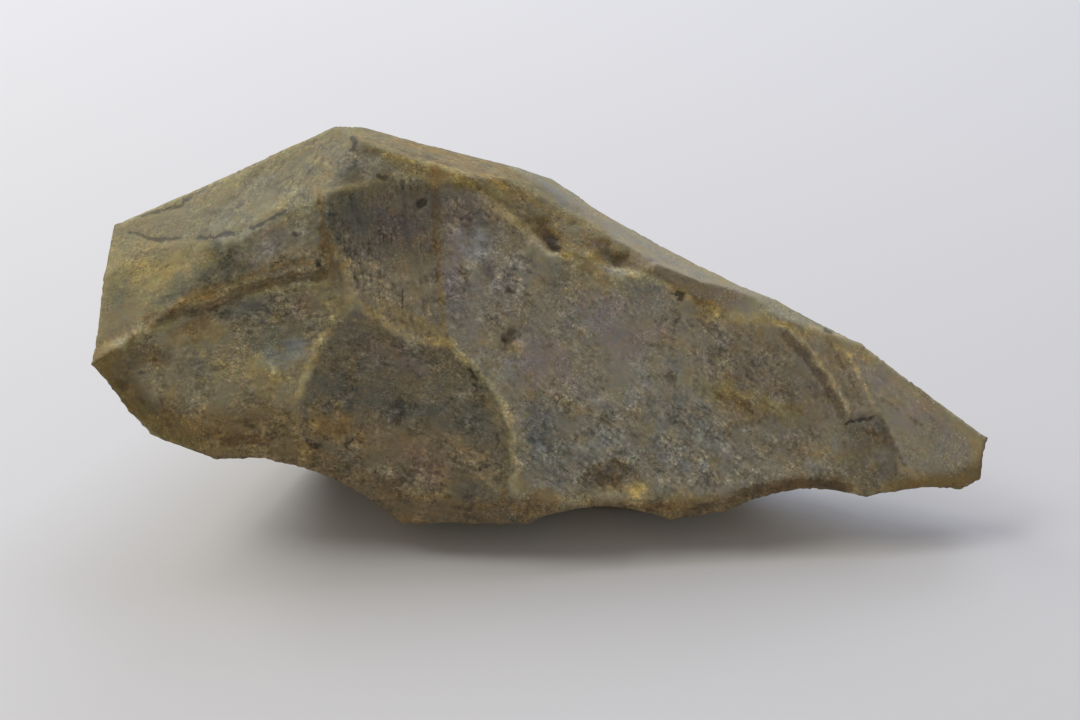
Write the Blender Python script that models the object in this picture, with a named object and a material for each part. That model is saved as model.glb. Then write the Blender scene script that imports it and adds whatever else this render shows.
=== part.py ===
"""A large hand axe of flint, knapped from one nodule and worn smooth.

Frame: +X runs from the butt to the tip, -Y is the side of the near edge, +Z is up.
The origin is under the middle of the stone, on the surface that it lies on.
The stone is made as a knapper makes it: a blank nodule loses one flake after another,
and each flake leaves a shallow dish, so the ridges are where neighbouring scars meet.
"""

import math
import random
from collections import namedtuple

import bmesh
import bpy
from mathutils import Matrix, Vector
from mathutils.bvhtree import BVHTree

# Driving size: the places and sizes below are in millimetres on an axe of the design length
DESIGN_LENGTH_MM = 210.0
LENGTH = 0.210
MM = LENGTH / DESIGN_LENGTH_MM

# The blank nodule
NODULE_CENTRE = (-17.0, 4.5, 35.5)
NODULE_HALF_SIZES = (147.0, 92.0, 64.0)

# A scar: the middle of its rim, the compass direction and lean that it faces in degrees
# (0 is toward the tip, 90 is away from the near edge), its reach from the middle to the rim
# and how deep it hollows the stone
Scar = namedtuple("Scar", "name at facing lean reach hollow")

SCARS = (
    # Front, the side toward the near edge
    Scar("main front scar", (20.0, -7.0, 30.0), 291, 37, 65, 2.5),
    Scar("scar under the crown", (-34.5, -9.0, 56.0), 292, 35, 59, 2.4),
    Scar("lower scar beside the butt", (-30.0, -29.0, 26.5), 285, 30, 41, 5.3),
    Scar("nose between the hollows", (-47.0, -16.5, 49.0), 291, 34, 15, 0.2),
    Scar("blunted rim", (-31.5, -38.0, 6.0), 281, 19, 27, 1.1),
    Scar("crushed rim", (-4.0, -33.0, 2.5), 282, 18, 14, 0.1),
    # Butt
    Scar("butt hollow", (-61.0, -28.5, 71.0), 283, 13, 62, 14.8),
    Scar("butt, lower side", (-86.0, -41.0, 27.5), 292, 26, 19, 2.0),
    Scar("butt, upper side", (-90.5, -25.0, 49.0), 261, 54, 26, 2.0),
    Scar("butt, side under the crown", (-60.5, -14.5, 59.0), 280, 37, 25, 2.4),
    Scar("butt, wedge beside it", (-77.5, -20.0, 54.0), 279, 43, 15, 1.3),
    Scar("butt, top slope", (-70.5, -5.5, 64.0), 251, 59, 59, 1.1),
    Scar("butt end", (-95.0, -26.0, 34.5), 164, -36, 43, 0.3),
    # Crest
    Scar("crown facet", (-49.5, 2.5, 71.5), 283, 56, 10, 0.1),
    Scar("crest, lower bevel", (-33.0, 6.0, 69.5), 299, 58, 24, 0.1),
    Scar("crest, upper bevel", (-31.0, 12.0, 69.0), 56, 67, 28, 0.1),
    Scar("crest, long bevel", (-2.5, 8.0, 57.0), 340, 62, 18, 2.5),
    Scar("far slope", (3.5, 23.0, 55.0), 37, 61, 39, 2.4),
    Scar("far slope toward the tip", (51.0, 9.0, 40.0), 14, 67, 25, 2.1),
    # Tip
    Scar("tip, upper facet", (87.0, 7.0, 14.5), 294, 40, 33, 0.1),
    Scar("tip, strip beside the crest", (69.5, 9.0, 24.5), 292, 41, 28, 0.6),
    Scar("tip, near step", (80.0, -2.0, 8.5), 288, 40, 16, 1.0),
    Scar("tip, blunt end", (104.5, 9.5, 7.0), 55, -38, 11, 0.3),
    Scar("tip, underside", (86.5, 9.0, 3.5), 93, -74, 18, 2.2),
    Scar("tip, lobe underside", (76.5, -1.0, 2.5), 73, -76, 13, 1.1),
    # Underside
    Scar("main underside scar", (5.0, 2.0, -10.5), 70, -89, 50, 1.6),
    Scar("overhang under the near edge", (10.0, -21.0, -6.0), 283, -63, 42, 0.6),
    Scar("overhang by the butt", (-55.0, -30.0, 2.0), 240, -60, 40, 0.3),
    Scar("scallop by the butt", (-56.0, -39.0, 8.0), 253, -67, 20, 4.2),
    Scar("overhang by the tip", (64.0, -3.0, -1.5), 295, -69, 18, 0.6),
    Scar("underside toward the tip", (72.0, 4.0, -6.0), 21, -73, 30, 0.3),
    Scar("near edge, wide scallop", (18.0, -29.0, -0.5), 287, -63, 16, 3.6),
    Scar("near edge, small scallop", (68.0, -8.0, 2.5), 266, -81, 12, 1.4),
    # Back, the side away from the near edge
    Scar("main back scar", (-3.5, 29.5, 26.5), 78, -12, 56, 4.2),
    Scar("back scar by the butt", (-78.0, 23.0, 27.0), 161, -38, 44, 3.2),
    Scar("slope behind the crown", (-76.0, 17.0, 57.0), 135, 40, 71, 2.7),
    Scar("slope beside the crown", (-38.0, 29.5, 62.0), 87, 42, 51, 2.7),
    Scar("blunt back corner", (-48.5, 44.0, 57.5), 139, 19, 16, 2.1),
    Scar("back scar by the tip", (79.0, 17.5, 18.5), 87, -10, 54, 3.5),
)

# Later scars that cut into the large ones. Each moves to the nearest point of the stone
LATER_SCARS = (
    # Front and crest
    Scar("bite above the near edge", (20.5, -24.0, 5.0), 291, 44, 6.5, 1.3),
    Scar("second crushed rim", (37.0, -20.5, 2.5), 286, 22, 9, 0.5),
    Scar("chip in the lower scar", (-10.0, -32.5, 6.0), 280, 32, 5.5, 0.7),
    Scar("first lens on the crest", (-3.0, 7.5, 54.5), 312, 56, 6, 1.2),
    Scar("second lens on the crest", (12.5, 11.0, 50.0), 308, 52, 6, 1.2),
    Scar("notch in the crest", (41.5, 11.0, 38.5), 318, 58, 6, 0.8),
    Scar("chip at the butt corner", (-88.0, -44.0, 20.5), 262, -4, 7, 0.9),
    # Back and underside
    Scar("second back scar", (-32.0, 31.0, 15.0), 86, -19, 19, 1.6),
    Scar("third back scar", (26.0, 24.0, 17.0), 76, -13, 16, 1.0),
    Scar("low back scar", (2.0, 22.0, 6.0), 90, -24, 13, 1.2),
    Scar("scar behind the crown", (-72.0, 30.0, 45.0), 132, 45, 17, 0.7),
    Scar("long underside scar", (22.0, 0.0, -10.0), 100, -88, 24, 1.0),
)

# Lines along the edges that were trimmed with rows of small flakes
UNDER_NEAR_EDGE = ((-66, -32, 8), (-22, -28, -6), (30, -14, -6), (62, -1, -2))
BACK_EDGE = ((-52, 40, 2), (-40, 30, -8), (0, 20, -9), (50, 12, -9), (98, 16, 6))
UNDER_FAR_EDGE = ((-62, 41, 42), (-38, 42, 48), (-8, 32, 50), (22, 24, 40), (60, 19, 29), (96, 16, 14))
UNDER_BUTT_EDGE = ((-101, -10, 45), (-84, 12, 36), (-62, 38, 28))

# A row: its line, the stretch of it from 0 to 1, and what its flakes have in common. They lie
# flat on the stone, apart from a small tilt
Row = namedtuple("Row", "name line begin end count reach hollow seed")
ROWS = (
    Row("trimming under the near edge", UNDER_NEAR_EDGE, 0.30, 0.95, 5, 7.0, 0.5, 5),
    Row("trimming under the back edge", BACK_EDGE, 0.10, 0.95, 6, 7.0, 0.7, 7),
    Row("trimming under the far edge", UNDER_FAR_EDGE, 0.06, 0.72, 6, 6.5, 0.6, 11),
    Row("trimming behind the butt", UNDER_BUTT_EDGE, 0.10, 0.90, 4, 8.0, 0.8, 13),
)
REACH_SPREAD = 0.45
TILT_SPREAD_DEGREES = 5.0
PLACE_SPREAD_MM = 2.5

# How far the facets of a scar may stand off its true bowl, and how far its space reaches out
FACET_ERROR_MM = 0.05
FEWEST_SIDES = 10
WIDENING = 1.5
CLEAR_OF_STONE_MM = 280.0
CLEAR_OF_LATER_SCAR_MM = 18.0

# Heights are counted from the level of the near edge, which is raised over an overhang. The lowest
# points are worn flat at this height, so that the stone lies steady
RESTING_HEIGHT_MM = -9.5
TRIM_BLOCK_MM = 400.0

# Points closer than this are one point, and edges sharper than this are not smoothed over
MERGE_MM = 0.03
SHARP_DEGREES = 24.0

FLINT_COLOUR = (0.17, 0.125, 0.07, 1.0)
FLINT_ROUGHNESS = 0.55
NODE_NAME = "hand_axe"


# Tools

def clear_scene():
    for old in list(bpy.data.objects):
        bpy.data.objects.remove(old)


def new_object(name, bm):
    mesh = bpy.data.meshes.new(name)
    bm.to_mesh(mesh)
    bm.free()
    made = bpy.data.objects.new(name, mesh)
    bpy.context.scene.collection.objects.link(made)
    return made


def take_away(stone, cutter):
    """Cut the cutter's space out of the stone and drop the cutter."""
    cutter.hide_render = True
    cutter.display_type = "WIRE"
    cut = stone.modifiers.new("flake", "BOOLEAN")
    cut.operation = "DIFFERENCE"
    cut.solver = "EXACT"
    cut.object = cutter
    view = bpy.context.evaluated_depsgraph_get()
    stone.data = bpy.data.meshes.new_from_object(stone.evaluated_get(view))
    stone.modifiers.clear()
    bpy.data.objects.remove(cutter)


# The blank nodule

def make_nodule():
    bm = bmesh.new()
    bmesh.ops.create_icosphere(bm, subdivisions=4, radius=1.0)
    stretch = Matrix.Diagonal((*NODULE_HALF_SIZES, 1.0))
    place = Matrix.Translation(NODULE_CENTRE)
    bmesh.ops.transform(bm, matrix=Matrix.Scale(MM, 4) @ place @ stretch, verts=bm.verts)
    return new_object(NODE_NAME, bm)


# Scars

def facing_vector(facing, lean):
    turn, rise = math.radians(facing), math.radians(lean)
    return Vector((math.cos(turn) * math.cos(rise), math.sin(turn) * math.cos(rise), math.sin(rise)))


def bowl_profile(scar, clear):
    """Radius and height of the scar's bowl, from the middle out to where it clears the stone."""
    steepness = scar.hollow / scar.reach ** 2
    fine_step = 2.0 * math.sqrt(FACET_ERROR_MM / steepness)
    outer = min(CLEAR_OF_STONE_MM, scar.reach * math.sqrt(clear / scar.hollow + 1.0))
    radii = [0.0]
    step = min(fine_step, scar.reach)
    while radii[-1] + step < outer:
        radii.append(radii[-1] + step)
        if radii[-1] > WIDENING * scar.reach:
            step *= WIDENING
    radii.append(outer)
    return [(radius, steepness * radius ** 2 - scar.hollow) for radius in radii]


def make_flake_space(scar, clear):
    """What a flake takes with it: all that lies above a shallow bowl."""
    sides = max(FEWEST_SIDES, round(math.pi * WIDENING * math.sqrt(scar.hollow / FACET_ERROR_MM)))
    profile = bowl_profile(scar, clear)
    profile.append((profile[-1][0], profile[-1][1] + clear))
    bm = bmesh.new()
    middle = bm.verts.new((0.0, 0.0, profile[0][1]))
    rings = []
    for radius, height in profile[1:]:
        turns = [math.tau * side / sides for side in range(sides)]
        rings.append([bm.verts.new((radius * math.cos(t), radius * math.sin(t), height)) for t in turns])
    for side in range(sides):
        after = (side + 1) % sides
        bm.faces.new((middle, rings[0][after], rings[0][side]))
        for inner, wider in zip(rings, rings[1:]):
            bm.faces.new((inner[side], inner[after], wider[after], wider[side]))
    bm.faces.new(rings[-1])
    bmesh.ops.recalc_face_normals(bm, faces=bm.faces)
    turn = facing_vector(scar.facing, scar.lean).to_track_quat("Z", "Y").to_matrix().to_4x4()
    place = Matrix.Translation(scar.at)
    bmesh.ops.transform(bm, matrix=Matrix.Scale(MM, 4) @ place @ turn, verts=bm.verts)
    return new_object(scar.name, bm)


def nearest_on_stone(stone, place):
    """The point of the stone nearest to a place, in millimetres, and the way it faces there."""
    mesh = stone.data
    corners = [vertex.co for vertex in mesh.vertices]
    surface = BVHTree.FromPolygons(corners, [face.vertices[:] for face in mesh.polygons])
    point, outward = surface.find_nearest(Vector(place) * MM)[:2]
    return point / MM, outward


def point_along(line, part):
    """The point at a share of a line's length."""
    corners = [Vector(corner) for corner in line]
    lengths = [(after - before).length for before, after in zip(corners, corners[1:])]
    left = part * sum(lengths)
    for before, after, length in zip(corners, corners[1:], lengths):
        if left <= length:
            break
        left -= length
    return before.lerp(after, min(left / length, 1.0))


def strike_row(stone, row):
    """A row's flakes: evenly spaced along the line, each a little different."""
    dice = random.Random(row.seed)
    for number in range(row.count):
        part = row.begin + (row.end - row.begin) * (number + 0.5) / row.count
        shift = Vector([dice.uniform(-PLACE_SPREAD_MM, PLACE_SPREAD_MM) for axis in range(3)])
        size = 1.0 + dice.uniform(-REACH_SPREAD, REACH_SPREAD)
        point, outward = nearest_on_stone(stone, point_along(row.line, part) + shift)
        rise = math.atan2(outward.z, math.hypot(outward.x, outward.y))
        tilt = dice.uniform(-TILT_SPREAD_DEGREES, TILT_SPREAD_DEGREES)
        scar = Scar(
            name=row.name,
            at=point,
            facing=math.degrees(math.atan2(outward.y, outward.x)),
            lean=math.degrees(rise) + tilt,
            reach=row.reach * size,
            hollow=row.hollow * size,
        )
        take_away(stone, make_flake_space(scar, CLEAR_OF_LATER_SCAR_MM))


# Finishing

def wear_resting_spots(stone):
    bm = bmesh.new()
    drop = Matrix.Translation((0.0, 0.0, RESTING_HEIGHT_MM - TRIM_BLOCK_MM / 2.0))
    bmesh.ops.create_cube(bm, size=TRIM_BLOCK_MM, matrix=drop)
    bmesh.ops.transform(bm, matrix=Matrix.Scale(MM, 4), verts=bm.verts)
    take_away(stone, new_object("ground", bm))


def clean_and_centre(stone):
    """Merge stray points, then put the origin under the middle of the stone."""
    bm = bmesh.new()
    bm.from_mesh(stone.data)
    bmesh.ops.remove_doubles(bm, verts=bm.verts, dist=MERGE_MM * MM)
    bmesh.ops.dissolve_degenerate(bm, edges=bm.edges, dist=MERGE_MM * MM)
    lowest = [min(vertex.co[axis] for vertex in bm.verts) for axis in range(3)]
    highest = [max(vertex.co[axis] for vertex in bm.verts) for axis in range(3)]
    middle = Vector(((lowest[0] + highest[0]) / 2.0, (lowest[1] + highest[1]) / 2.0, lowest[2]))
    bmesh.ops.translate(bm, vec=-middle, verts=bm.verts)
    bm.to_mesh(stone.data)
    bm.free()
    stone.data.shade_smooth()
    stone.data.set_sharp_from_angle(angle=math.radians(SHARP_DEGREES))


def make_flint():
    flint = bpy.data.materials.new("patinated flint")
    flint.use_nodes = True
    surface = flint.node_tree.nodes["Principled BSDF"]
    surface.inputs["Base Color"].default_value = FLINT_COLOUR
    surface.inputs["Roughness"].default_value = FLINT_ROUGHNESS
    surface.inputs["Metallic"].default_value = 0.0
    return flint


# Knapping

clear_scene()
axe = make_nodule()
for scar in SCARS:
    take_away(axe, make_flake_space(scar, CLEAR_OF_STONE_MM))
for row in ROWS:
    strike_row(axe, row)
for scar in LATER_SCARS:
    scar = scar._replace(at=nearest_on_stone(axe, scar.at)[0])
    take_away(axe, make_flake_space(scar, CLEAR_OF_LATER_SCAR_MM))
wear_resting_spots(axe)
clean_and_centre(axe)
axe.data.materials.append(make_flint())
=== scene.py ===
"""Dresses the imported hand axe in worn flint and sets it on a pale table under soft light.

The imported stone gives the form. Its skin is a fine copy that gets worn ridges, relief and pits.
Marks that the photograph shows are placed in its pixels, 1080 wide and 720 high. They are thrown
onto the stone once, from the photograph's viewpoint, and kept as attributes of the mesh, so that
they stay in their place from any side. The hidden sides are marked in millimetres instead.
"""

import math
import random
from collections import namedtuple
from functools import partial
from itertools import chain

import bmesh
import bpy
import numpy as np
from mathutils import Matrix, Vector, noise
from mathutils.bvhtree import BVHTree


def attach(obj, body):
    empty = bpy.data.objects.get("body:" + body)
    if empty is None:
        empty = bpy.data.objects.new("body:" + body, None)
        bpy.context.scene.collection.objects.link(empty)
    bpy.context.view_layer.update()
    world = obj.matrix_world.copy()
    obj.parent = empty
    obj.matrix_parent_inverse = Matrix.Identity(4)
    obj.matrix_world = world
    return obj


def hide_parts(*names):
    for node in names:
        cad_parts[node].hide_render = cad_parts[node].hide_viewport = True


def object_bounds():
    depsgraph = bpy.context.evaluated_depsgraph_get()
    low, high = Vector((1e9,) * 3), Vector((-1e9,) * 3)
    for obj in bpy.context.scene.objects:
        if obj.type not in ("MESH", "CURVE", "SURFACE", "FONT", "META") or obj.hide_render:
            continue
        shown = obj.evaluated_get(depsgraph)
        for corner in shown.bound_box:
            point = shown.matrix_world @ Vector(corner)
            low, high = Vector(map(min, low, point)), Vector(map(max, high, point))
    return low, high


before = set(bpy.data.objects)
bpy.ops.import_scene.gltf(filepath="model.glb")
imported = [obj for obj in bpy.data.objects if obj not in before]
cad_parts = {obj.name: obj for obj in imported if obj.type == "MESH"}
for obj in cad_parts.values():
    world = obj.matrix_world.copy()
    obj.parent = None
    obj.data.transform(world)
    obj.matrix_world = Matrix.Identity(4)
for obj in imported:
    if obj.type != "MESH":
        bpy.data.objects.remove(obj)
cad_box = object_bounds()

MM = 0.001
AXE_NODE = "hand_axe"

# Viewpoint of the photograph

PHOTO_WIDTH = 1080
PHOTO_HEIGHT = 720
VIEW_AZIMUTH_DEGREES = 14
VIEW_ELEVATION_DEGREES = 38
VIEW_TARGET_MM = Vector((-2.3, -3.6, 35.3))
VIEW_DISTANCE_MM = 505.3
NEAREST_SEEN_MM = 10
LENS_MM = 70
SENSOR_WIDTH_MM = 36
FOCAL_PIXELS = LENS_MM / SENSOR_WIDTH_MM * PHOTO_WIDTH
PIXELS_PER_MM = FOCAL_PIXELS / VIEW_DISTANCE_MM

# Fine mesh of the skin

MERGE_MM = 0.01
SPLITS = 14
LONGEST_EDGE_MM = 1.15
FLAT_DEGREES = 4

# Wear of the skin: passes of smoothing, and heights, depths and widths in mm. Here and below, a bulge, a
# pattern or a patch with two values sets in at the first and is at its fullest at the second.

SKIN_SETTINGS = {
    "Rounding passes": 3,
    "Ridge reach passes": 30,
    "Swell height": 0.5,
    "Swell width": 14.0,
    "Chip depth": 0.28,
    "Chip width": 5.0,
    "Grain height": 0.28,
    "Grain width": 2.8,
    "Seed": 7.0,
}
RELIEF_DETAILS = {"Swell": 2.0, "Chip": 3.0, "Grain": 2.0}
CHIP_PATTERN = (0.48, 0.70)
RIDGE_BULGE_MM = (0.03, 0.25)
THIN_EDGE_BULGE_MM = (0.3, 0.6)
THIN_EDGE_ROUNDING = 0.03

# How marks lie on the skin. The wobble makes their outlines uneven, in the same way in every run. The reach
# is as far as the distance from a stain's rim is kept. Pits and grooves reach so many half widths.

WOBBLE_MM = 0.5
WOBBLE_WIDTHS_MM = (2.6, 9)
WOBBLE_SEED = 5
SPOT_WOBBLE = 0.8
REACH_MM = 4.0
RAY_START_MM = 0.5
FADE_AT_RIM = 0.12
PIT_REACH = 1.4
GROOVE_REACH = 1.5
NARROWEST_GROOVE = 2.4
LINE_CRISPNESS = 1.8
RIPPLE_NEAR_FADE = 30
RIPPLE_FAR_FADE = 60
RIPPLE_SIDE_FADE_DEGREES = 15

# Stone that the photograph hides: tones and their patches, roughness, grain and run of the hackles

FLINT_COOL = "#7d786b"
FLINT_WARM = "#8c805f"
PATCH_MM = 22
PATCH_CONTRAST = 0.8
PATCH_FALLOFF = 0.6
PATCH_SCALE_STEP = 2.0
PATCH_OCTAVES = 4
HIDDEN_ROUGH = 0.8
HIDDEN_BUSY = 1.0
HIDDEN_FLOW = (0.25, 0.35, 0.9)

# Noise patterns in the flint: width in mm, seed, detail, roughness, and whether the hackles draw it out.
# The crystals are about 0.4 mm wide, coarser than in the stone, so that they show. The values of a pattern
# lie around its middle.

Pattern = namedtuple("Pattern", "width seed detail roughness drawn_out", defaults=(4.0, 0.6, False))

PATTERNS = {
    "iron cloud": Pattern(9.0, 1.0),
    "blue cloud": Pattern(7.0, 2.0),
    "iron wisp": Pattern(2.8, 3.0),
    "lilac wisp": Pattern(2.4, 4.0),
    "green wisp": Pattern(2.0, 5.0),
    "mottle": Pattern(2.4, 6.0),
    "grain": Pattern(0.9, 7.0, 4.0, 0.8),
    "ragged rim": Pattern(1.7, 8.0, 6.0, 0.75),
    "crystals": Pattern(0.42, 9.0, 2.0),
    "crystal patch": Pattern(8.0, 16.0, 3.0),
    "busy patch": Pattern(7.0, 15.0, 3.0),
    "hackle": Pattern(1.0, 11.0, 2.5, 0.6, True),
    "dark hair": Pattern(2.6, 12.0, 3.0, 0.6, True),
    "dark hair patch": Pattern(5.0, 12.5),
    "pale hair": Pattern(2.6, 13.0, 3.0, 0.6, True),
    "pale hair patch": Pattern(5.0, 13.5),
    "grey hair": Pattern(2.6, 14.0, 3.0, 0.6, True),
    "grey hair patch": Pattern(5.0, 14.5),
}
MIDDLE = 0.5
HACKLE_STRETCH = 3.5

# Tints in the flint: the values between which a tint comes in, what it leaves of the red, green and blue
# below, and how fully it covers. Clouds and hairlines have the names of their patterns.

Tint = namedtuple("Tint", "start end leaves cover")

CLOUDS = {
    "iron cloud": Tint(0.50, 0.64, (1.10, 1.00, 0.78), 0.7),
    "blue cloud": Tint(0.50, 0.64, (0.86, 0.93, 1.06), 0.7),
    "iron wisp": Tint(0.50, 0.64, (1.12, 0.98, 0.74), 0.6),
    "lilac wisp": Tint(0.50, 0.64, (0.84, 0.84, 0.97), 0.6),
    "green wisp": Tint(0.50, 0.64, (0.90, 1.02, 0.86), 0.5),
}
HAIRLINES = {
    "dark hair": Tint(0.011, 0.002, (0.50, 0.45, 0.38), 0.6),
    "pale hair": Tint(0.011, 0.002, (1.40, 1.38, 1.28), 0.6),
    "grey hair": Tint(0.011, 0.002, (0.60, 0.56, 0.50), 0.6),
}
HAIRLINE_PATCH = (0.50, 0.60)
WORN_RIDGE = Tint(0.08, 0.36, (1.18, 1.14, 0.85), 0.65)
DARKER_HOLLOW = Tint(-0.10, -0.32, (0.72, 0.62, 0.46), 0.80)
RIDGE_RAGGED = 0.45
HOLLOW_RAGGED = 0.40
PALE_CRYSTAL = Tint(0.55, 0.66, (1.75, 1.78, 1.80), 0.9)
DARK_CRYSTAL = Tint(0.43, 0.32, (0.50, 0.50, 0.53), 0.9)
CRYSTAL_PATCH = (0.44, 0.60)

# How strongly patterns shade the flint and how its surface takes light

BUSY_PATCH = (0.36, 0.64)
BUSY_RANGE = (0.35, 1.5)
SHADING = {"mottle": 1.05, "grain": 1.5, "hackle": 0.8}
BUMP_MM = 0.24
BUMP_STRENGTH = 0.8
HACKLE_BUMP = 0.3
LEAST_ROUGHNESS = 0.42
MOTTLED_ROUGHNESS = 0.25
FLINT_IOR = 1.54

# Stains on the flint: what they leave of the red, green and blue below, how soft their rims are and how far
# grain breaks them up, in mm, and how fully they cover. Umber and smoke also paint the shade under the lip
# of the shoulder, umber the shade beside a ridge at the tip, and pearl and mist the sheen and a glint on the
# main scar and the butt hollow.

Stain = namedtuple("Stain", "leaves softness ragged cover")

STAINS = {
    "slate": Stain((0.64, 0.73, 0.84), 1.8, 6.0, 0.75),
    "pearl_and_sheen": Stain((1.30, 1.37, 1.56), 1.2, 4.5, 0.80),
    "mist_and_sheen": Stain((1.02, 1.09, 1.22), 2.0, 5.0, 0.85),
    "lilac": Stain((1.04, 0.97, 1.10), 1.8, 6.0, 0.90),
    "ochre": Stain((1.18, 1.03, 0.72), 1.2, 5.0, 0.80),
    "buff": Stain((1.66, 1.61, 1.31), 1.0, 3.2, 0.85),
    "rust": Stain((0.88, 0.68, 0.45), 0.9, 4.5, 0.70),
    "olive": Stain((1.12, 1.13, 0.76), 1.6, 6.0, 0.80),
    "bone": Stain((1.50, 1.46, 1.22), 0.8, 4.5, 0.80),
    "umber_and_shade": Stain((0.56, 0.48, 0.39), 0.6, 4.0, 0.80),
    "smoke_and_shade": Stain((0.58, 0.58, 0.58), 0.6, 4.0, 0.70),
    "soot": Stain((0.24, 0.24, 0.24), 0.35, 1.8, 0.90),
}

# Faces of the stone in the photograph: tone, roughness, how strongly grain and hackles mark it, how softly
# it ends in pixels, turn of its hackles in degrees, and outline. A part of a face has its turn from the face.
# A tone is the face's own colour with painted light and shade in it: faces that the lamps leave dim, such as
# the main scar and the tip, are painted lighter than faces that they light well, such as the butt slope, and
# the shaded part of the butt hollow is painted shade under the lip of the shoulder.

Field = namedtuple("Field", "name tone rough busy soft turn outline")

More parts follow.
